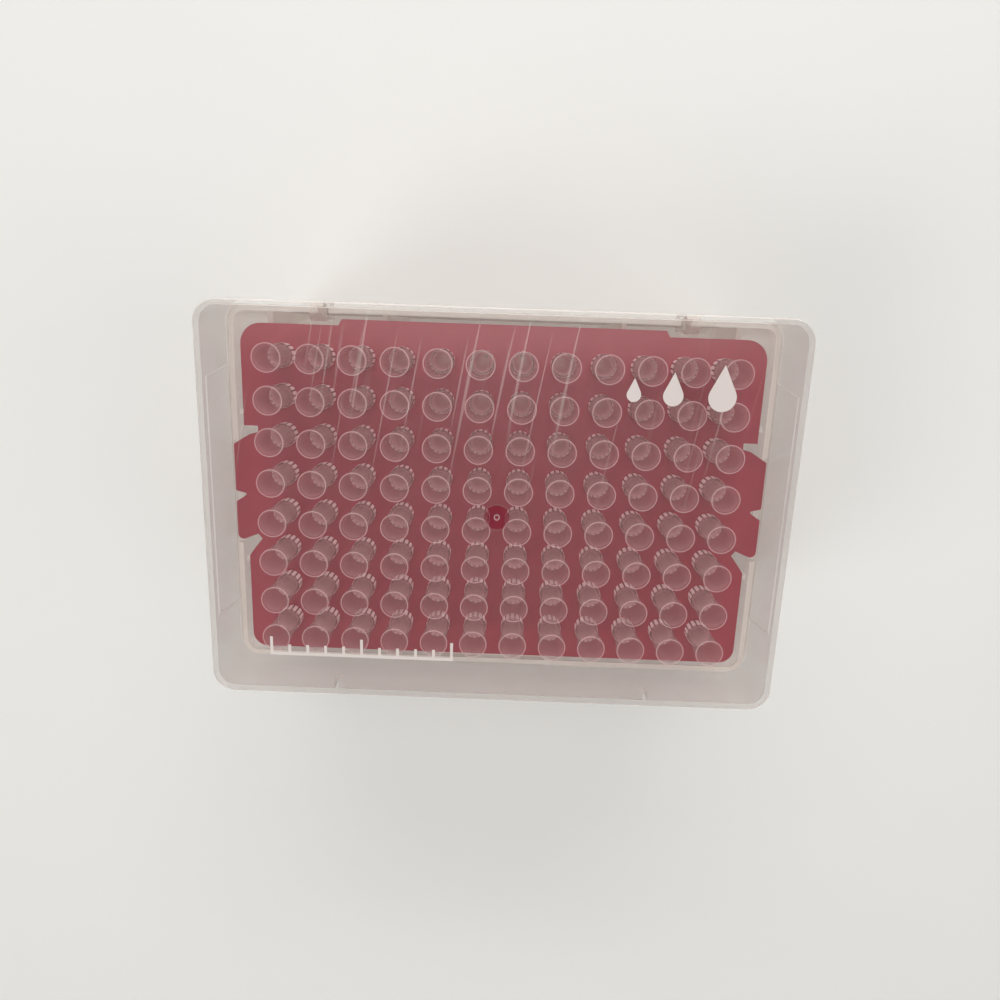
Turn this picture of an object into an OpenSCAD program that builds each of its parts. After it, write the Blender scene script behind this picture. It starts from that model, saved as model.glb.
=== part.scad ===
// Hinged rack of pipette tips: a tray, a rack plate that drops into it, tips hanging in columns,
// and a lid on two moulded pins with a latch tongue at the front.
// +Z is up, +X runs along the columns, the hinge is at +Y and the latch at -Y.
// The origin is the centre of the foot, on the surface that the box stands on.

/* [Tip grid] */
// Columns of tips along the length
columns = 12; // [10:1:14]
// Rows of tips across the depth
rows = 8; // [7:1:10]
// Distance between neighbouring tips
pitch = 9; // [8:0.1:11]

/* [Tips] */
// Length of a tip from its rim to its point
tip_length = 51.5; // [42:0.5:70]
// Height of the hub that stands above the rack plate
hub_length = 13; // [11:0.5:18]
// Diameter of the round mouth that takes the pipette's nozzle
mouth_d = 5.2; // [4.2:0.1:6.4]
// Depth of the mouth down to its stop
mouth_depth = 9.5; // [6:0.5:9.5]
// Wall of the rim bead
rim_wall = 0.55; // [0.45:0.05:0.8]
// Height of the rim bead
rim_bead = 1.4; // [1:0.1:2.5]
// Wall of the hub under the rim bead
hub_wall = 0.35; // [0.25:0.05:0.45]
// Draft of the hub's radius from the rim bead to its foot
hub_draft = 0.25; // [0.1:0.05:0.3]
// Ribs in the crown around the foot of the hub
crown_ribs = 14; // [10:1:18]
// Height of the crown
crown_h = 3; // [2:0.1:3.4]
// Width of the slots between the crown's ribs
crown_slot = 0.4; // [0.3:0.05:0.6]
// Depth of the slots between the crown's ribs
crown_d = 0.28; // [0.16:0.02:0.28]
// Width of the shoulder that rests on the rack plate
shoulder = 0.45; // [0.35:0.05:0.7]
// Wall of the tip below its shoulder
tip_wall = 0.5; // [0.3:0.05:0.6]
// Outer diameter where the fine point starts
shank_d = 2.5; // [2:0.1:3.2]
// Length of the fine point
point_length = 18; // [12:0.5:24]
// Outer diameter of the point's end
point_d = 0.9; // [0.7:0.05:1.2]
// Bore of the point's end
orifice_d = 0.5; // [0.3:0.05:0.6]

/* [Rack plate] */
// Thickness of the plate
plate_t = 1.8; // [1.4:0.1:2.6]
// Plate beyond the outer tip centres at each short side
plate_margin_x = 9.8; // [8:0.1:13]
// Plate beyond the outer tip centres at the front, and its flange at the rear
plate_margin_y = 8.25; // [7.5:0.05:11]
// Depth of the flange along the middle of the rear edge
flange_d = 1.4; // [1:0.1:2]
// Play between a tip and its hole, all round
hole_gap = 0.12; // [0.08:0.02:0.3]
// Depth of the collar under each hole
collar_d = 3; // [2:0.25:4]
// Wall of the collar under each hole
collar_wall = 0.8; // [0.6:0.1:1]
// How far the ribs between the collars stop short of the collars' lower ends
rib_up = 1; // [0.5:0.1:1.5]
// Thickness of those ribs
rib_t = 1; // [0.8:0.1:1.4]
// Depth of the skirt under the plate
skirt_d = 4.4; // [3.5:0.1:7]
// Wall of the skirt
skirt_wall = 1.2; // [0.8:0.1:1.6]
// Distance from the plate's short edges in to the skirt
skirt_inset_x = 3.8; // [3.6:0.1:4.4]
// Distance from the plate's long edges in to the skirt
skirt_inset_y = 1.85; // [1.7:0.05:2.5]
// Radius of the plate's front corners
front_corner_r = 3.5; // [2:0.1:5]
// Radius of the plate's rear corners
rear_corner_r = 4.8; // [3:0.1:6]

/* [Snap tabs] */
// Reach of the snap tabs beyond the plate's short edges
tab_reach = 2.6; // [2.2:0.05:2.65]
// Rear end of a tab's outer edge, from the plate's middle
tab_rear = 10.7; // [9:0.1:11.5]
// Front end of a tab, from the plate's middle
tab_front = 12.3; // [11:0.1:13]
// Radius of a tab's front end
tab_r = 1.3; // [0.8:0.1:1.5]
// Depth of the notches at a tab's two ends
notch_d = 3.2; // [2.6:0.1:3.6]
// Width of the rear notch
notch_w = 1.6; // [1:0.1:2]
// Depth of the notch in the middle of a tab
nick_d = 2.4; // [1.5:0.1:3]
// Width of the notch in the middle of a tab
nick_w = 2.7; // [1.6:0.1:3.4]

/* [Tray and lid] */
// Wall of the tray and of the lid
wall = 1.1; // [0.9:0.05:1.4]
// Draft of the walls, in degrees
draft = 1; // [0.5:0.25:1.5]
// Outer corner radius at the seam
corner_r = 5.4; // [4.8:0.1:8]
// Gap between the rack plate and the tray's short walls
plate_gap_x = 1.45; // [1.2:0.05:2.5]
// Gap between the rack plate and the tray's long walls
plate_gap_y = 1.2; // [1:0.05:2]
// Gap between the tray's upright rim and the lid's wall
lid_gap = 0.45; // [0.4:0.05:0.8]
// Gap between the tray's shelf and the lid's lower edge
seam_gap = 0.3; // [0.2:0.05:0.5]
// Height of the tray's upright rim above the seam
rim_h = 3; // [2.5:0.25:5]
// Thickness of the shelf that the lid closes onto
shelf_t = 2.2; // [1.5:0.1:3]
// Height of the foot under the floor
foot_h = 1; // [0.6:0.1:2]
// Width of the foot
foot_w = 2.4; // [1.6:0.1:2.8]
// Thickness of the tray's floor
floor_t = 1.3; // [1:0.1:2]
// Space between the floor and the points of the tips
tip_clear = 2.2; // [1:0.1:6]
// Space between the rims of the tips and the lid
head_room = 3.9; // [2:0.1:8]
// Radius of the lid's outer top edge
edge_r = 2; // [1.4:0.1:2.5]

/* [Hinge] */
// Distance from the box's short side to the middle of a hinge arm
arm_inset = 23.1; // [16:0.1:26]
// Thickness of a hinge arm
arm_t = 1.5; // [1.2:0.1:2.2]
// Gap between a hinge arm and the tray beside it
arm_gap = 0.35; // [0.25:0.05:0.6]
// Thickness of a hinge lug on the tray
lug_t = 3; // [2.2:0.1:4]
// Diameter of the hinge pins
pin_d = 2.4; // [1.8:0.1:2.8]
// Play between a hinge pin and its bore, all round
pin_gap = 0.05; // [0.03:0.01:0.08]
// Wall around the hinge bores
eye_wall = 0.95; // [0.8:0.05:1.1]

/* [Latch] */
// Width of the latch tongue
tongue_w = 26; // [20:1:32]
// Reach of the latch tongue below the seam
tongue_h = 9; // [8:0.5:14]
// Gap beside the tongue in its bay
bay_gap = 1.5; // [1:0.1:2.5]
// Depth of the bay in the tray's front wall, at the seam
bay_d = 1; // [0.7:0.1:1.5]
// Width of the window in the tongue
window_w = 14; // [8:1:16]
// Height of the window in the tongue
window_h = 3.6; // [3:0.1:5]
// Play between the catch and the tongue, so that the tongue passes it
catch_gap = 0.15; // [0.1:0.05:0.3]
// Grooves for the thumb under the window
grooves = 3; // [0:1:3]

/* [Hidden] */
$fn = 48;
over = 0.4; // how far one form runs into another that it is fused to
beyond = 1; // how far a cutter runs past what it cuts
k = tan(draft);

// heights
floor_z = foot_h + floor_t;
rim_z = floor_z + tip_clear + tip_length;
plate_z = rim_z - hub_length;
under_z = plate_z - plate_t;
seam_z = plate_z - rim_h;
shelf_z = seam_z - shelf_t;
lid_z = seam_z + seam_gap;
ceiling_z = rim_z + head_room;
top_z = ceiling_z + wall;
ledge_z = under_z - skirt_d;
post_z = under_z - 0.3; // top of the ribs that seat the skirt

// rack plate
plate_hx = (columns - 1) / 2 * pitch + plate_margin_x;
plate_hy = (rows - 1) / 2 * pitch + plate_margin_y;
skirt_hx = plate_hx - skirt_inset_x;
skirt_hy = plate_hy - skirt_inset_y;
skirt_r = 3;
tab_x = plate_hx + tab_reach;
nick_y = -0.4; // rear edge of the middle notch

// outer halves of the box at the seam, and the inset of the tray's wall from them
tray_inset = wall + lid_gap;
box_hx = plate_hx + plate_gap_x + wall + tray_inset;
box_hy = plate_hy + plate_gap_y + wall + tray_inset;
tray_in_x = plate_hx + plate_gap_x;
tray_in_y = plate_hy + plate_gap_y;
tray_wall_y = box_hy - tray_inset;

// tip
mouth_r = mouth_d / 2;
rim_r = mouth_r + rim_wall;
hub_r = mouth_r + hub_wall;
hub_foot_r = hub_r - hub_draft;
body_r = hub_foot_r - shoulder;
hole_r = body_r + hole_gap;
stop_w = 0.4; // step at the end of the mouth
lead_in = 0.2; // width of the chamfer at the start of the mouth
bead_blend = 0.3; // slope between the rim bead and the hub
neck_h = 1; // thick neck under the shoulder
crown_z = -max(hub_length - crown_h, mouth_depth + stop_w);

// hinge
eye_r = pin_d / 2 + pin_gap + eye_wall;
axis_y = box_hy - eye_r - 0.1;
axis_z = seam_z - eye_r - 0.2;
arm_x = box_hx - arm_inset;
arm_top_z = seam_z + 7;
arm_heel_z = seam_z + 2;
arm_brow = 0.7; // upright part of an arm's rear edge above the lid's lower edge
arm_slot_w = arm_t + 2 * arm_gap;
arm_slot_z = axis_z - eye_r - 1.1;
lug_in = 0.72 * eye_r; // reach of a lug's neck from the axis, towards the tray
lug_out = 0.55 * eye_r; // the same towards the rear
lug_neck = 0.64 * eye_r; // how far that neck lies under the axis
lug_drop = 5.5; // how far a lug's root lies under the axis
pin_end_gap = 0.35; // between the end of a pin and its lug's outer face

// latch
bay_hw = tongue_w / 2 + bay_gap;
bay_y = tray_wall_y - bay_d;
window_z = seam_z - 5.4;
tongue_r = 3;
catch_z = window_z + 0.6;
catch_h = 1.8;
catch_lip = 0.4; // upright edge of the catch's wedge
catch_side = 1; // between the catch and each side of the window
groove_w = 0.45;
groove_d = 0.25;
groove_step = (window_z - seam_z + tongue_h) / (grooves + 1);

// ribs in the tray that seat the skirt
seat_t = 1.2;
seat_gap = 0.35;
seat_lap = 0.3; // how far a rib's step runs past the skirt
step_h = 6; // upright part of a rib's step
root_w = 0.8; // a rib's width at its root, beyond the wall's draft
root_h = 8; // height of that root above the floor

// openings for the snap tabs in the tray's upright rim
tab_clear = 1;
tab_under = 0.25;

// lid: inner top edge, grip panels, gussets and gate recess
inner_edge_r = edge_r - wall + 0.3;
grip_hw = 27;
grip_slope = 2; // how much wider a grip panel is at its lower edge, each side
grip_h = 14.3;
grip_d = 0.35;
gusset_x = arm_x - 5.3;
gusset_t = 1.1;
gusset_h = 9;
gusset_w = 2.5;
gate_r = 2.8;
gate_d = 0.5;
gate_stub_r = 0.7;
gate_stub_h = 0.3;

COLUMN_NODES = [for (c = [1:columns]) str("tips_column_", c)];

// the outer offset of the tray's wall, measured from the corner axis, at a height under the seam
function tray_r(z) = corner_r - tray_inset - (seam_z - z) * k;

// the place of a tip in the grid, counted from 0
function column_x(c) = (c - (columns - 1) / 2) * pitch;
function row_y(r) = (r - (rows - 1) / 2) * pitch;

// places its children at both sides, the second one mirrored
module both_sides() {
    children();
    mirror([1, 0, 0]) children();
}

// stands a drawing of the YZ plane at x, from x to x + t
module stand_x(x, t) {
    translate([x, 0, 0]) rotate([90, 0, 90]) linear_extrude(t) children();
}

// runs a section (x from the corner axis outwards, y up) round a rectangle with round corners
module sweep_round(hx, hy, r) {
    for (q = [[1, 1, 0], [-1, 1, 90], [-1, -1, 180], [1, -1, 270]]) {
        turned = q[2] % 180 != 0;
        side = 2 * ((turned ? hx : hy) - r);
        translate([q[0] * (hx - r), q[1] * (hy - r), 0]) rotate([0, 0, q[2]]) {
            rotate_extrude(angle = 90) children();
            rotate([90, 0, 0]) linear_extrude(side) children();
        }
    }
}

// a flat panel between the corner axes
module core(hx, hy, r, z, t) {
    translate([r - hx, r - hy, z]) cube([2 * (hx - r), 2 * (hy - r), t]);
}

// section of a drafted box from its corner axis to its wall, with a round top edge
module drafted_section(x, z0, z1, r) {
    edge_x = x - (z1 - r - z0) * k - r;
    polygon([[0, z0], [x, z0], [edge_x + r, z1 - r], [edge_x, z1], [0, z1]]);
    translate([edge_x, z1 - r]) circle(r);
}

module round_rect(hx, hy, r) {
    square([2 * (hx - r), 2 * hy], center = true);
    square([2 * hx, 2 * (hy - r)], center = true);
    for (x = [r - hx, hx - r], y = [r - hy, hy - r]) translate([x, y]) circle(r);
}

// what rounds a corner at (x, y) takes away; the corner points towards +x and towards y_side
module corner_waste(x, y, r, y_side) {
    translate([x - r, y - y_side * r]) difference() {
        translate([0, y_side > 0 ? 0 : -r - beyond]) square(r + beyond);
        circle(r);
    }
}

// ---- tray ----

module tray_section() {
    wall_x = tray_r(seam_z);
    polygon([
        [0, foot_h], [tray_r(0) - foot_w, foot_h], [tray_r(0) - foot_w, 0], [tray_r(0), 0],
        [tray_r(shelf_z - tray_inset), shelf_z - tray_inset], [corner_r, shelf_z], [corner_r, seam_z],
        [wall_x, seam_z], [wall_x, plate_z], [wall_x - wall, plate_z], [wall_x - wall, seam_z],
        [tray_r(floor_z) - wall, floor_z], [0, floor_z]
    ]);
}

// a rib on the inside of a wall: its step carries the skirt and its post keeps the skirt in place
module seat_rib(post, step) {
    root = (seam_z - floor_z) * k + over + root_w;
    rotate([90, 0, 0]) translate([0, 0, -seat_t / 2]) linear_extrude(seat_t)
        polygon([
            [-over, post_z], [post, post_z], [post, ledge_z], [step, ledge_z], [step, ledge_z - step_h],
            [root, floor_z + root_h], [root, floor_z - over], [-over, floor_z - over]
        ]);
}

module seat_ribs() {
    post_x = tray_in_x - skirt_hx - seat_gap;
    post_y = tray_in_y - skirt_hy - seat_gap;
    lap = seat_gap + skirt_wall + seat_lap;
    for (y = [-2 * pitch, 2 * pitch]) both_sides()
        translate([tray_in_x, y, 0]) rotate([0, 0, 180]) seat_rib(post_x, post_x + lap);
    for (x = [3 * pitch, arm_x + 1.4 * pitch], s = [-1, 1]) both_sides()
        translate([x, s * tray_in_y, 0]) rotate([0, 0, -s * 90]) seat_rib(post_y, post_y + lap);
}

module hinge_lug() {
    stand_x(arm_x + arm_t / 2 + arm_gap, lug_t) {
        translate([axis_y, axis_z]) circle(eye_r);
        polygon([
            [axis_y - lug_in, axis_z - lug_neck], [axis_y + lug_out, axis_z - lug_neck],
            [tray_wall_y - over, axis_z - lug_drop], [tray_wall_y - wall, axis_z - lug_drop]
        ]);
    }
}

// the wedge that the tongue's window closes over
module catch() {
    face_y = box_hy - wall - catch_gap;
    stand_x(catch_side - window_w / 2, window_w - 2 * catch_side)
        polygon([
            [over - bay_y, catch_z], [-face_y, catch_z], [-face_y, catch_z + catch_lip],
            [-bay_y, catch_z + catch_h], [over - bay_y, catch_z + catch_h]
        ]);
}

module base() {
    color([0.86, 0.83, 0.81, 0.5]) difference() {
        union() {
            difference() {
                union() {
                    sweep_round(box_hx, box_hy, corner_r) tray_section();
                    core(box_hx, box_hy, corner_r, foot_h, floor_t);
                    // backing behind the latch bay
                    translate([-bay_hw - wall, -bay_y - over, floor_z - over])
                        cube([2 * (bay_hw + wall), wall + over, post_z - floor_z + over]);
                }
                // the shelf stops at the rear, where the lid's wall swings down
                translate([-box_hx - beyond, tray_wall_y, shelf_z - tray_inset - beyond])
                    cube([2 * (box_hx + beyond), tray_inset + beyond, shelf_t + tray_inset + beyond]);
                // bay for the latch tongue
                translate([-bay_hw, -box_hy - beyond, -beyond])
                    cube([2 * bay_hw, box_hy - bay_y + beyond, seam_z + beyond]);
                // openings in the upright rim for the snap tabs
                both_sides() translate([tray_in_x - beyond, -tab_front - tab_clear, under_z - tab_under])
                    cube([wall + 2 * beyond, tab_front + tab_rear + 2 * tab_clear, plate_t + beyond]);
                // slots for the hinge arms
                both_sides() translate([arm_x - arm_slot_w / 2, axis_y - eye_r, arm_slot_z])
                    cube([arm_slot_w, 3 * eye_r, plate_z - arm_slot_z + beyond]);
            }
            seat_ribs();
            both_sides() hinge_lug();
            catch();
        }
        both_sides() translate([arm_x, axis_y, axis_z]) rotate([0, 90, 0])
            cylinder(r = pin_d / 2 + pin_gap, h = arm_t / 2 + arm_gap + lug_t + beyond);
    }
}

// ---- rack plate ----

// the outline of the plate's right half, from the rear to the front
module plate_half() {
    rear = plate_hy - flange_d;
    flange_x = arm_x - 4;
    notch_y = tab_rear + notch_w + 2.8;
    tip_y = tab_r - tab_front;
    difference() {
        union() {
            polygon([
                [0, plate_hy], [flange_x, plate_hy], [flange_x + 0.8, rear], [plate_hx, rear],
                // rear notch, and the slope down to the tab
                [plate_hx, notch_y], [plate_hx - notch_d, notch_y], [plate_hx - notch_d, notch_y - notch_w],
                [plate_hx - 1.1, tab_rear + 2.3], [tab_x, tab_rear],
                // middle notch
                [tab_x, nick_y], [tab_x - nick_d, nick_y - 0.6],
                [tab_x - nick_d, nick_y - 1.1], [tab_x, nick_y - nick_w],
                // front end and front notch
                [tab_x, tip_y], [tab_x - tab_r * 1.35, -tab_front + 0.1],
                [plate_hx - 2.3, 1.4 - tab_front], [plate_hx - notch_d, 0.2 - tab_front],
                [plate_hx - 1.4, -tab_front - 2.1], [plate_hx, -tab_front - 4.1],
                [plate_hx, -plate_hy], [0, -plate_hy]
            ]);
            translate([tab_x - tab_r, tip_y]) circle(tab_r);
        }
        corner_waste(plate_hx, rear, rear_corner_r, 1);
        corner_waste(plate_hx, -plate_hy, front_corner_r, -1);
    }
}

module grid() {
    for (c = [0:columns - 1], r = [0:rows - 1]) translate([column_x(c), row_y(r)]) children();
}

module skirt_ring() {
    difference() {
        round_rect(skirt_hx, skirt_hy, skirt_r);
        round_rect(skirt_hx - skirt_wall, skirt_hy - skirt_wall, skirt_r - skirt_wall);
    }
}

// a layer of the plate, from z up, with the holes of all tips through it
module pierced(z, t) {
    translate([0, 0, z]) linear_extrude(t) difference() {
        children();
        grid() circle(hole_r);
    }
}

// a collar under every hole, and a rib through each row of them from skirt to skirt
module collars() {
    grid() circle(hole_r + collar_wall);
}

module rib_rows() {
    for (r = [0:rows - 1])
        translate([0, row_y(r)]) square([2 * skirt_hx - skirt_wall, rib_t], center = true);
}

module rack_plate() {
    color([0.66, 0.18, 0.3]) {
        pierced(under_z, plate_t) {
            plate_half();
            mirror([1, 0]) plate_half();
        }
        pierced(under_z - collar_d + rib_up, collar_d - rib_up) {
            collars();
            rib_rows();
        }
        pierced(under_z - collar_d, rib_up) collars();
        translate([0, 0, ledge_z]) linear_extrude(skirt_d) skirt_ring();
    }
}

// ---- tips ----

// a hollow turned body: rim bead, hub with its stop, neck, long taper and fine point
module tip_body() {
    shank_r = shank_d / 2;
    shank_z = point_length - tip_length;
    rotate_extrude() polygon([
        [mouth_r + lead_in, 0], [rim_r, 0], [rim_r, -rim_bead], [hub_r, -rim_bead - bead_blend],
        [hub_foot_r, -hub_length], [body_r, -hub_length], [shank_r, shank_z], [point_d / 2, -tip_length],
        [orifice_d / 2, -tip_length], [shank_r - tip_wall, shank_z],
        [body_r - tip_wall, -hub_length - neck_h], [mouth_r - stop_w, -mouth_depth],
        [mouth_r, -mouth_depth], [mouth_r, -1.5 * lead_in]
    ]);
}

module tip() {
    difference() {
        tip_body();
        // slots between the crown's ribs
        translate([0, 0, -hub_length - over]) linear_extrude(crown_z + hub_length + over)
            for (a = [0:crown_ribs - 1])
                rotate(a * 360 / crown_ribs) translate([hub_foot_r - crown_d, -crown_slot / 2])
                    square([crown_d + beyond, crown_slot]);
    }
}

module tips_column(c) {
    color([0.95, 0.92, 0.92, 0.45])
        for (r = [0:rows - 1]) translate([column_x(c - 1), row_y(r), rim_z]) tip();
}

// ---- lid ----

module lid_section() {
    inner_x = corner_r - wall - (seam_gap - beyond) * k;
    difference() {
        drafted_section(corner_r - seam_gap * k, lid_z, top_z, edge_r);
        translate([0, -beyond]) drafted_section(inner_x, lid_z, ceiling_z + beyond, inner_edge_r);
    }
}

// an arm that hangs from the lid's rear wall, with its pin
module hinge_arm() {
    stand_x(arm_x - arm_t / 2, arm_t) {
        translate([axis_y, axis_z]) circle(eye_r);
        polygon([
            [axis_y - eye_r, axis_z], [axis_y + eye_r, axis_z], [axis_y + eye_r, lid_z + arm_brow],
            [box_hy - wall + over, arm_top_z], [axis_y - eye_r, arm_heel_z]
        ]);
    }
    translate([arm_x, axis_y, axis_z]) rotate([0, 90, 0])
        cylinder(d = pin_d, h = arm_t / 2 + arm_gap + lug_t - pin_end_gap);
}

// a gusset between the lid's ceiling and its front wall
module gusset() {
    in_y = box_hy - wall - (ceiling_z - seam_z) * k;
    stand_x(gusset_x - gusset_t / 2, gusset_t)
        polygon([
            [-in_y - over, ceiling_z + over], [gusset_w - in_y, ceiling_z + over],
            [gusset_w - in_y, ceiling_z], [-in_y - over, ceiling_z - gusset_h]
        ]);
}

module tongue() {
    low_z = seam_z - tongue_h;
    side_x = tongue_w / 2;
    difference() {
        translate([0, wall - box_hy, 0]) rotate([90, 0, 0]) linear_extrude(wall) difference() {
            union() {
                translate([-side_x, low_z + tongue_r]) square([tongue_w, tongue_h - tongue_r + beyond]);
                translate([tongue_r - side_x, low_z]) square([tongue_w - 2 * tongue_r, tongue_r + over]);
                for (s = [-1, 1]) translate([s * (side_x - tongue_r), low_z + tongue_r]) circle(tongue_r);
            }
            translate([-window_w / 2, window_z]) square([window_w, window_h]);
        }
        // grooves for the thumb
        if (grooves > 0) for (g = [1:grooves])
            translate([-window_w / 2, -box_hy - beyond, low_z + g * groove_step - groove_w / 2])
                cube([window_w, beyond + groove_d, groove_w]);
    }
}

module grip_panel() {
    translate([box_hx, 0, seam_z]) rotate([0, -draft, 0]) stand_x(-grip_d, grip_d + beyond)
        polygon([
            [-grip_hw - grip_slope, -beyond], [grip_hw + grip_slope, -beyond],
            [grip_hw, grip_h], [-grip_hw, grip_h]
        ]);
}

module lid() {
    color([0.88, 0.85, 0.83, 0.35]) difference() {
        union() {
            sweep_round(box_hx, box_hy, corner_r) lid_section();
            core(box_hx, box_hy, corner_r, ceiling_z, wall);
            both_sides() hinge_arm();
            both_sides() gusset();
            tongue();
        }
        both_sides() grip_panel();
        // gate recess, with the stub of the gate in it
        translate([0, 0, top_z - gate_d]) difference() {
            cylinder(r = gate_r, h = gate_d + beyond);
            cylinder(r = gate_stub_r, h = gate_stub_h);
        }
    }
}

base();
rack_plate();
lid();
for (c = [1:columns]) tips_column(c);
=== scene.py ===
"""The looks of a hinged box of pipette tips: frosted tray, clear lid, crimson rack plate, clear tips.

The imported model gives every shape. This script gives its nodes their finishes, and sets the floor,
the lamps and the camera. It works in metres: base down, +X along the columns, +Y to the hinge, +Z up.
"""
import math

import bpy
from mathutils import Euler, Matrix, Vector


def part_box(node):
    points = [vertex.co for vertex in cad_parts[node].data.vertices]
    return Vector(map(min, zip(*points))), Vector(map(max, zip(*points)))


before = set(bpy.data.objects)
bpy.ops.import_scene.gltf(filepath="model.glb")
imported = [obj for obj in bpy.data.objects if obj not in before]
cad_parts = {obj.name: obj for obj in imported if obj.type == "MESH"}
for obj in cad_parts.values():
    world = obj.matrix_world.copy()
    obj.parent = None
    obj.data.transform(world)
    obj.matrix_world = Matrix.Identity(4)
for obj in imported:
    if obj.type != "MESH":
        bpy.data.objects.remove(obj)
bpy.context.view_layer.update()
MM = 0.001
TIP_NODES = [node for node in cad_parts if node.startswith("tips_column")]

# sizes and heights that the finishes follow, and what they share
PITCH = 9 * MM
RIM_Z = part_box("tips_column_1")[1].z
PLATE_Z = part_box("rack_plate")[1].z
TOP_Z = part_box("lid")[1].z
PLASTIC_IOR = 1.49
NO_LIGHT = (0, 0, 0)


# ---- shader trees written as expressions ----

class Field:
    """A number, colour or vector that varies over a surface: the output of a node."""

    def __init__(self, finish, socket):
        self.finish, self.socket = finish, socket

    def math(self, operation, first, second=0.0):
        return self.finish.node("ShaderNodeMath", {"operation": operation}, {0: first, 1: second})

    def __add__(self, other):
        return self.math("ADD", self, other)

    def __sub__(self, other):
        return self.math("SUBTRACT", self, other)

    def __rsub__(self, other):
        return self.math("SUBTRACT", other, self)

    def __mul__(self, other):
        return self.math("MULTIPLY", self, other)

    def __pow__(self, other):
        return self.math("POWER", self, other)

    def __abs__(self):
        return self.math("ABSOLUTE", self)

    __radd__, __rmul__ = __add__, __mul__

    def least(self, other):
        return self.math("MINIMUM", self, other)

    def most(self, other):
        return self.math("MAXIMUM", self, other)

    def repeat(self, period):
        """The distance to the nearest multiple of period, signed."""
        values = {0: self, 1: period / 2, 2: -period / 2}
        return self.finish.node("ShaderNodeMath", {"operation": "WRAP"}, values)

    def rise(self, low, high):
        """0 up to low, 1 from high on, smooth between them."""
        settings = {"interpolation_type": "SMOOTHSTEP"}
        values = {"Value": self, "From Min": low, "From Max": high}
        return self.finish.node("ShaderNodeMapRange", settings, values)


class Finish:
    """A material with one Principled shader, and the nodes that feed it."""

    def __init__(self, name, **constants):
        self.material = bpy.data.materials.new(name)
        self.material.use_nodes = True
        # a faint painted glow isn't worth a lamp's share of the light rays
        self.material.cycles.emission_sampling = "NONE"
        self.tree = self.material.node_tree
        self.tree.nodes.clear()
        self.shader = self.tree.nodes.new("ShaderNodeBsdfPrincipled")
        output = self.tree.nodes.new("ShaderNodeOutputMaterial")
        self.tree.links.new(self.shader.outputs[0], output.inputs["Surface"])
        self.place = self.node("ShaderNodeTexCoord", {}, {}, "Object")
        self.x, self.y, self.z = self.split(self.place)
        self.feed(**constants)

    def node(self, kind, settings, values, output=0):
        """Adds a node: its settings first, then the value or the link of each input."""
        made = self.tree.nodes.new(kind)
        for name, value in settings.items():
            setattr(made, name, value)
        for name, value in values.items():
            self.join(made.inputs[name], value)
        return Field(self, made.outputs[output])

    def join(self, socket, value):
        """Links a field to a socket, or sets the socket's own value."""
        if isinstance(value, Field):
            self.tree.links.new(value.socket, socket)
        elif socket.type == "RGBA":
            socket.default_value = (*value, 1)
        else:
            socket.default_value = value

    def feed(self, **values):
        """Sets or links inputs of the shader, with _ for a space in a name."""
        for name, value in values.items():
            self.join(self.shader.inputs[name.replace("_", " ")], value)

    def split(self, vector):
        """The three numbers of a vector."""
        first = self.node("ShaderNodeSeparateXYZ", {}, {0: vector})
        return [Field(self, socket) for socket in first.socket.node.outputs]

    def noise(self, size, detail, stretch=(1, 1, 1), turn=0.0):
        """Smooth noise from 0 to 1: lumps of this size in metres, stretched, then turned about Z."""
        values = {"Vector": self.place, "Rotation": (0, 0, turn), "Scale": stretch}
        place = self.node("ShaderNodeMapping", {"vector_type": "TEXTURE"}, values)
        return self.node("ShaderNodeTexNoise", {}, {"Vector": place, "Scale": 1 / size, "Detail": detail})

    def blend(self, share, low, high):
        """The colour low where share is 0, and high where it is 1."""
        return self.node("ShaderNodeMix", {"data_type": "RGBA"}, {0: share, 6: low, 7: high}, 2)

    def length(self, x, y):
        """How far a point lies from the origin of x and y."""
        return (x * x + y * y) ** 0.5

    def bumps(self, height, depth):
        """A normal for a height field of this depth in metres."""
        return self.node("ShaderNodeBump", {}, {"Height": height, "Distance": depth, "Strength": 1.0})

    def edge_on(self):
        """0 where the surface faces the eye, rising late to 1 where it is seen edge on."""
        return self.node("ShaderNodeLayerWeight", {}, {"Blend": 0.5}, "Facing") ** 3

    def upright(self):
        """0 on level surfaces, 1 on upright ones."""
        normal = self.node("ShaderNodeTexCoord", {}, {}, "Normal")
        return 1 - abs(self.split(normal)[2])


# ---- print on the lid: three drops that grow, and a graduated line ----

PRINT_EDGE = 0.05 * MM
DROPS = ((27 * MM, 1.5 * MM), (35 * MM, 2.1 * MM), (45 * MM, 2.9 * MM))  # place along X, and radius
DROPS_Y = 27 * MM
DROP_SLIMNESS = 2.3  # from a drop's middle to its point, in radii
LINE_X, LINE_Y = -29 * MM, -33 * MM
LINE_REACH, LINE_HALF_WIDTH = 20.4 * MM, 0.4 * MM
TICKS = ((4 * MM, 1.1 * MM), (20 * MM, 2 * MM))  # step along the line, and half the height
TICK_HALF_WIDTH, TICKS_HALF_HEIGHT = 0.35 * MM, 9 * MM


def drop_mark(x, y, radius):
    """1 inside a drop whose round part is centred at 0 and whose point is up."""
    height = DROP_SLIMNESS * radius
    lean = math.asin(radius / height)
    round_part = radius - x.finish.length(x, y)
    point_part = ((height - y) * math.tan(lean) - abs(x)).least(y - radius * math.sin(lean))
    return round_part.most(point_part).rise(0, PRINT_EDGE)


def bar_mark(x, y, half_x, half_y):
    """1 inside a bar with this reach to each side of 0."""
    return (half_x - abs(x)).least(half_y - abs(y)).rise(0, PRINT_EDGE)


def ring_mark(radius, middle, width):
    """1 on a ring of this middle radius and width."""
    return (width / 2 - abs(radius - middle)).rise(0, PRINT_EDGE)


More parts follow.
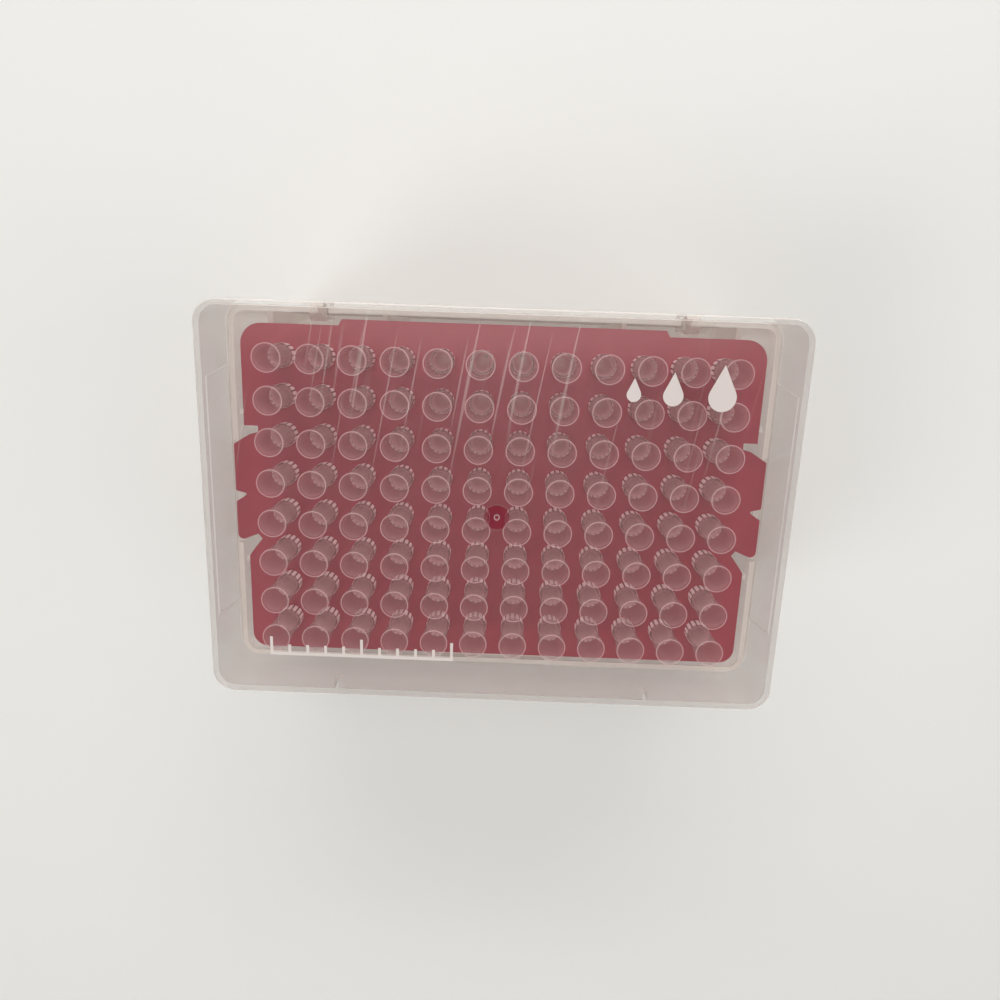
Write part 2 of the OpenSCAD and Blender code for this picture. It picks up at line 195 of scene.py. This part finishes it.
def lid_print(f, top):
    """1 on the printed marks, where top is 1."""
    x, y = f.x - LINE_X, f.y - LINE_Y
    marks = bar_mark(x, y, LINE_REACH, LINE_HALF_WIDTH)
    within = bar_mark(x, y, LINE_REACH, TICKS_HALF_HEIGHT)
    for step, half in TICKS:
        ticks = bar_mark(x.repeat(step), y - half, TICK_HALF_WIDTH, half)
        marks = marks.most(ticks * within)
    for place, radius in DROPS:
        marks = marks.most(drop_mark(f.x - place, f.y - DROPS_Y, radius))
    return marks * top


# ---- clear lid ----

LID_LOW, LID_HIGH = (0.50, 0.42, 0.37), (0.57, 0.485, 0.43)
HIGHLIGHT_AND_SCUFF_COLOUR = (0.92, 0.84, 0.78)  # painted highlight of the bends, and the scuffs' own colour
PRINT_COLOUR = (0.66, 0.59, 0.56)
GATE_COLOUR = (0.22, 0.02, 0.035)
# soft edges, each from low to high
TOP_ABOVE, GATE_ABOVE = (-0.3 * MM, -0.1 * MM), (-2.0 * MM, -1.8 * MM)  # heights over the lid's top
GATE_WITHIN = (2.65 * MM, 2.8 * MM)  # radii about its middle
BEND_FROM, BEND_TO = (0.30, 0.5), (0.85, 0.97)  # leans, 1 when upright
SCUFF_FADE = (-20 * MM, 35 * MM)  # places along Y
SCUFF_CUT = (0.70, 0.80)  # the noise from which on there is a scuff
SCUFF_TURN = math.radians(-10)
STUB_R, STUB_WIDTH = 0.55 * MM, 0.16 * MM
# how much each part hides of what lies behind it
LID_LEVEL, LID_WALL, LID_BEND_HIGHLIGHT, LID_EDGE, LID_CLOUD = 0.042, 0.26, 0.3, 0.06, 0.02
SCUFF_COVER, PRINT_COVER, GATE_COVER, STUB_COVER = 0.13, 0.93, 0.3, 0.8
LID_ROUGH, LID_ROUGH_CLOUD, PRINT_ROUGH = 0.12, 0.1, 0.2


def lid_scuffs(f, top):
    """1 on fine scuffs that run from the rear of the lid's top towards the front."""
    streaks = f.noise(size=0.7 * MM, detail=0.0, stretch=(1, 70, 1), turn=SCUFF_TURN)
    return streaks.rise(*SCUFF_CUT) * f.y.rise(*SCUFF_FADE) * top


def frosted_lid():
    """Clear level walls, milkier upright walls and bends with a painted highlight, with scuffs, the print
    and the gate.
    """
    f = Finish("frosted_lid_plastic", IOR=PLASTIC_IOR)
    cloud = f.noise(size=9 * MM, detail=1.0)
    streaks = f.noise(size=2 * MM, detail=1.0, stretch=(1, 1, 10))
    height = f.z - TOP_Z
    top = height.rise(*TOP_ABOVE)
    wall = f.upright()
    # the bends get a painted highlight line, pale and less clear
    bend = wall.rise(*BEND_FROM) * (1 - wall.rise(*BEND_TO))
    scuffs = lid_scuffs(f, top)
    marks = lid_print(f, top)
    radius = f.length(f.x, f.y)
    gate = (1 - radius.rise(*GATE_WITHIN)) * height.rise(*GATE_ABOVE)
    stub = ring_mark(radius, STUB_R, STUB_WIDTH)
    colour = f.blend(bend, f.blend(streaks, LID_LOW, LID_HIGH), HIGHLIGHT_AND_SCUFF_COLOUR)
    colour = f.blend(scuffs, colour, HIGHLIGHT_AND_SCUFF_COLOUR)
    colour = f.blend(gate, colour, f.blend(stub, GATE_COLOUR, PRINT_COLOUR))
    cover = LID_LEVEL + wall * LID_WALL + bend * LID_BEND_HIGHLIGHT + f.edge_on() * LID_EDGE
    cover = cover + cloud * LID_CLOUD + scuffs * SCUFF_COVER
    f.feed(
        Base_Color=f.blend(marks, colour, PRINT_COLOUR),
        Roughness=cloud * LID_ROUGH_CLOUD + marks * PRINT_ROUGH + LID_ROUGH,
        Alpha=cover.most(marks * PRINT_COVER).most(gate * GATE_COVER).most(gate * stub * STUB_COVER),
        Normal=f.bumps(f.noise(size=3 * MM, detail=0.0), depth=0.006 * MM),
    )
    return f


# ---- frosted tray ----

TRAY_LOW, TRAY_HIGH = (0.87, 0.785, 0.715), (0.93, 0.855, 0.79)
TRAY_LEVEL, TRAY_WALL, TRAY_EDGE, TRAY_CLOUD = 0.52, 0.28, 0.3, 0.06
TRAY_ROUGH, TRAY_ROUGH_CLOUD = 0.4, 0.12


def frosted_tray():
    """Milky plastic with upright flow streaks and a fine grain, thicker to look through on level faces."""
    f = Finish("frosted_tray_plastic", IOR=PLASTIC_IOR)
    cloud = f.noise(size=8 * MM, detail=1.0)
    streaks = f.noise(size=1.6 * MM, detail=1.0, stretch=(1, 1, 8))
    cover = TRAY_LEVEL - f.upright() * (TRAY_LEVEL - TRAY_WALL)
    f.feed(
        Base_Color=f.blend(streaks, TRAY_LOW, TRAY_HIGH),
        Roughness=cloud * TRAY_ROUGH_CLOUD + TRAY_ROUGH,
        Alpha=cover + cloud * TRAY_CLOUD + f.edge_on() * TRAY_EDGE,
        Normal=f.bumps(f.noise(size=0.5 * MM, detail=0.0), depth=0.02 * MM),
    )
    return f


# ---- clear tips ----

# soft edges, each from low to high: radii about a tip's axis
RIM_OUTSIDE = (2.86 * MM, 2.94 * MM)
RIBS_OUTSIDE = (2.62 * MM, 2.68 * MM)
SLOTS_OUTSIDE = (2.35 * MM, 2.4 * MM)
BORE_WITHIN = (2.62 * MM, 2.66 * MM)
PIT_WITHIN = (2.16 * MM, 2.22 * MM)
# and heights over the plate
RIM_ABOVE = (RIM_Z - PLATE_Z - 0.5 * MM, RIM_Z - PLATE_Z - 0.1 * MM)
HUB_ABOVE, CROWN_BELOW = (-0.1 * MM, 0.0), (2.9 * MM, 3.0 * MM)
PIT_ABOVE, PIT_BELOW = (-40 * MM, -25 * MM), (3.4 * MM, 3.6 * MM)
# the spans over which painted red light from the plate, and painted shade near it, fade in
PIT_PAINTED_SPAN, BODY_PAINTED_SPAN, HUB_PAINTED_SPAN = (-16 * MM, -1 * MM), (-12 * MM, 0.0), (0.0, RIM_Z - PLATE_Z)
TIP_COLOUR = (0.80, 0.72, 0.70)
# painted colours: red light that the plate throws on the hub, bore and pit, darker near the plate as
# painted shade, and paler deep in the pit as painted light from the tray
HUB_PAINTED_LOW, HUB_PAINTED_HIGH = (0.34, 0.10, 0.12), (0.49, 0.27, 0.28)
BORE_PAINTED_RED = (0.60, 0.37, 0.38)
PIT_PAINTED_RED, PIT_PAINTED_DEEP = (0.80, 0.50, 0.51), (0.90, 0.76, 0.74)
RIM_COLOUR = (0.86, 0.56, 0.57)
# the ribs are pale, partly milkier for their thickness and partly a painted highlight; the slots between
# them are painted shade
RIB_MILK_AND_HIGHLIGHT, SLOT_PAINTED_SHADE = (1.0, 0.86, 0.86), (0.34, 0.04, 0.06)
# painted glow, standing in for light that the thin clear walls would scatter into the pits and the ribs
PIT_PAINTED_GLOW, RIB_PAINTED_GLOW = (0.045, 0.024, 0.027), (0.10, 0.055, 0.06)
# how much each part hides of what lies behind it
TIP_CLEAR, TIP_GRAIN, TIP_EDGE = 0.05, 0.03, 0.08
HUB_COVER, BORE_COVER, PIT_COVER = 0.08, 0.22, 0.45
RIM_COVER, RIB_COVER, SLOT_COVER = 0.4, 1.0, 0.5
TIP_ROUGH, TIP_ROUGH_GRAIN, PIT_ROUGH, TIP_SPECULAR = 0.12, 0.15, 0.6, 0.3


def clear_tips():
    """Thin walls with painted red light and painted shade near the plate, a pale rim, and pale ribs round
    the foot with a painted highlight and glow, painted shade in the slots and a painted glow in the pit.
    """
    f = Finish("clear_tip_plastic", IOR=PLASTIC_IOR, Specular_IOR_Level=TIP_SPECULAR)
    grain = f.noise(size=0.6 * MM, detail=0.0)
    radius = f.length((f.x + PITCH / 2).repeat(PITCH), (f.y + PITCH / 2).repeat(PITCH))
    height = f.z - PLATE_Z
    # where each part of a tip is
    rim = (1 - f.upright()) * height.rise(*RIM_ABOVE) * radius.rise(*RIM_OUTSIDE)
    hub = height.rise(*HUB_ABOVE)
    crown = hub * (1 - height.rise(*CROWN_BELOW))
    ribs = crown * radius.rise(*RIBS_OUTSIDE)
    slots = crown * radius.rise(*SLOTS_OUTSIDE) * (1 - radius.rise(*RIBS_OUTSIDE))
    bore = 1 - radius.rise(*BORE_WITHIN)
    pit = (1 - radius.rise(*PIT_WITHIN)) * height.rise(*PIT_ABOVE) * (1 - height.rise(*PIT_BELOW))
    # its colours, from the widest part to the smallest, with the plate's red light and the shade near the
    # plate painted in
    hub_painted_red = f.blend(height.rise(*HUB_PAINTED_SPAN), HUB_PAINTED_LOW, HUB_PAINTED_HIGH)
    pit_painted_light = f.blend(height.rise(*PIT_PAINTED_SPAN), PIT_PAINTED_DEEP, PIT_PAINTED_RED)
    colour = f.blend(height.rise(*BODY_PAINTED_SPAN), TIP_COLOUR, hub_painted_red)
    colour = f.blend(bore * hub, colour, BORE_PAINTED_RED)
    colour = f.blend(rim, f.blend(pit, colour, pit_painted_light), RIM_COLOUR)
    # pale ribs with a painted highlight, and painted shade in the slots between them
    colour = f.blend(slots, f.blend(ribs, colour, RIB_MILK_AND_HIGHLIGHT), SLOT_PAINTED_SHADE)
    cover = TIP_CLEAR + grain * TIP_GRAIN + hub * HUB_COVER + f.edge_on() * TIP_EDGE
    cover = cover + bore * BORE_COVER + pit * PIT_COVER
    f.feed(
        Base_Color=colour,
        Roughness=grain * TIP_ROUGH_GRAIN + TIP_ROUGH + pit * PIT_ROUGH,
        Alpha=cover.most(rim * RIM_COVER).most(ribs * RIB_COVER).most(slots * SLOT_COVER),
        # the pits and the ribs glow: painted light, not a lamp
        Emission_Color=f.blend(ribs, f.blend(pit, NO_LIGHT, PIT_PAINTED_GLOW), RIB_PAINTED_GLOW),
        Emission_Strength=1.0,
    )
    return f


# ---- crimson rack plate ----

PLATE_LOW, PLATE_HIGH = (0.29, 0.014, 0.038), (0.35, 0.020, 0.052)
# painted light: the plate paler towards its rear edge, as if lit from the rear
PLATE_REAR_PAINTED_LIGHT, REAR_LIGHT_FADE = (0.44, 0.075, 0.105), (26 * MM, 41 * MM)
PLATE_ROUGH, PLATE_ROUGH_GRAIN = 0.3, 0.15


def crimson_plate():
    """Satin crimson with a faint mottle, and painted light making it paler towards the rear edge."""
    f = Finish("crimson_plastic", IOR=PLASTIC_IOR)
    colour = f.blend(f.noise(size=6 * MM, detail=4.0), PLATE_LOW, PLATE_HIGH)
    f.feed(
        # paler towards the rear edge: painted light
        Base_Color=f.blend(f.y.rise(*REAR_LIGHT_FADE), colour, PLATE_REAR_PAINTED_LIGHT),
        Roughness=f.noise(size=1.5 * MM, detail=3.0) * PLATE_ROUGH_GRAIN + PLATE_ROUGH,
        Normal=f.bumps(f.noise(size=0.4 * MM, detail=2.0), depth=0.01 * MM),
    )
    return f


def dress(node, finish):
    """Gives a CAD node its finish."""
    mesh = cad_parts[node].data
    mesh.materials.clear()
    mesh.materials.append(finish.material)


dress("base", frosted_tray())
dress("lid", frosted_lid())
dress("rack_plate", crimson_plate())
tip_finish = clear_tips()
for node in TIP_NODES:
    dress(node, tip_finish)


# ---- floor, light and camera ----

FLOOR_REACH = 3.0
FAR_OUTSIDE = (0.4, 1.8)  # from near to far off on the floor
PAPER_LOW, PAPER_HIGH, PAPER_FAR = (0.76, 0.75, 0.725), (0.78, 0.77, 0.745), (0.44, 0.43, 0.42)
BOX_MIDDLE, BOX_UPPER = (0, 0, 0.03), (0, 0, 0.05)
LAMPS = {  # place, target, size and power
    "window": ((-0.9, -0.6, 0.9), BOX_MIDDLE, (0.7, 0.7), 5.5),
    "fill": ((1.1, -0.3, 0.8), BOX_MIDDLE, (1.2, 1.2), 4),
    "top": ((0, 0.32, 1.05), BOX_MIDDLE, (0.8, 0.8), 4.6),
    "rear_strip": ((0, 0.9, 0.5), BOX_UPPER, (1.2, 0.2), 5),
}
SURROUND_COLOUR = (1.0, 0.985, 0.96, 1)
SURROUND_LIGHT, SURROUND_SEEN = 0.27, 0.64
CAMERA_PLACE, CAMERA_DEGREES = (0.0014, 0.0411, 0.2136), (-13.66, 0.80, 1.99)
CAMERA_LENS, SENSOR_WIDTH = 26.82, 36


def make_floor():
    """Pale paper that keeps the box's shadow, and is as pale as the surround where it is far off."""
    mesh = bpy.data.meshes.new("floor")
    corners = [(x * FLOOR_REACH, y * FLOOR_REACH, 0) for x, y in ((-1, -1), (1, -1), (1, 1), (-1, 1))]
    mesh.from_pydata(corners, [], [(0, 1, 2, 3)])
    floor = bpy.data.objects.new("floor", mesh)
    bpy.context.scene.collection.objects.link(floor)
    paper = Finish("floor_paper", Roughness=0.9, Specular_IOR_Level=0.1)
    seen = paper.node("ShaderNodeLightPath", {}, {}, "Is Camera Ray")
    far = paper.length(paper.x, paper.y).rise(*FAR_OUTSIDE) * seen
    paper.feed(
        Base_Color=paper.blend(paper.noise(size=0.05, detail=3.0), PAPER_LOW, PAPER_HIGH),
        Emission_Color=paper.blend(far, NO_LIGHT, PAPER_FAR),
        Emission_Strength=1.0,
    )
    mesh.materials.append(paper.material)


def make_lamp(name, place, target, size, power):
    """A soft oval lamp that points at its target."""
    data = bpy.data.lights.new(name, "AREA")
    data.shape, data.size, data.size_y, data.energy = "ELLIPSE", *size, power
    lamp = bpy.data.objects.new(name, data)
    lamp.location = place
    lamp.rotation_euler = (Vector(target) - Vector(place)).to_track_quat("-Z", "Y").to_euler()
    bpy.context.scene.collection.objects.link(lamp)


def make_surround():
    """A plain surround, dim as a light and pale where the eye sees it."""
    world = bpy.data.worlds.new("studio")
    world.use_nodes = True
    tree = world.node_tree
    background = tree.nodes["Background"]
    background.inputs["Color"].default_value = SURROUND_COLOUR
    strength = tree.nodes.new("ShaderNodeMapRange")
    strength.inputs["To Min"].default_value = SURROUND_LIGHT
    strength.inputs["To Max"].default_value = SURROUND_SEEN
    path = tree.nodes.new("ShaderNodeLightPath")
    tree.links.new(path.outputs["Is Camera Ray"], strength.inputs["Value"])
    tree.links.new(strength.outputs[0], background.inputs["Strength"])
    bpy.context.scene.world = world


def make_camera():
    """A short lens above the lid's rear half, turned a little to the front."""
    data = bpy.data.cameras.new("camera")
    data.sensor_width, data.lens = SENSOR_WIDTH, CAMERA_LENS
    data.clip_start, data.clip_end = 0.01, 10
    camera = bpy.data.objects.new("camera", data)
    camera.location = CAMERA_PLACE
    camera.rotation_euler = Euler([math.radians(angle) for angle in CAMERA_DEGREES], "XYZ")
    bpy.context.scene.collection.objects.link(camera)
    bpy.context.scene.camera = camera


make_floor()
for name, lamp in LAMPS.items():
    make_lamp(name, *lamp)
make_surround()
make_camera()
scene = bpy.context.scene
scene.view_settings.view_transform = "Standard"
# a line of sight along a row passes through dozens of clear walls, made of long thin triangles
scene.cycles.transparent_max_bounces = 128
scene.cycles.debug_use_spatial_splits = True
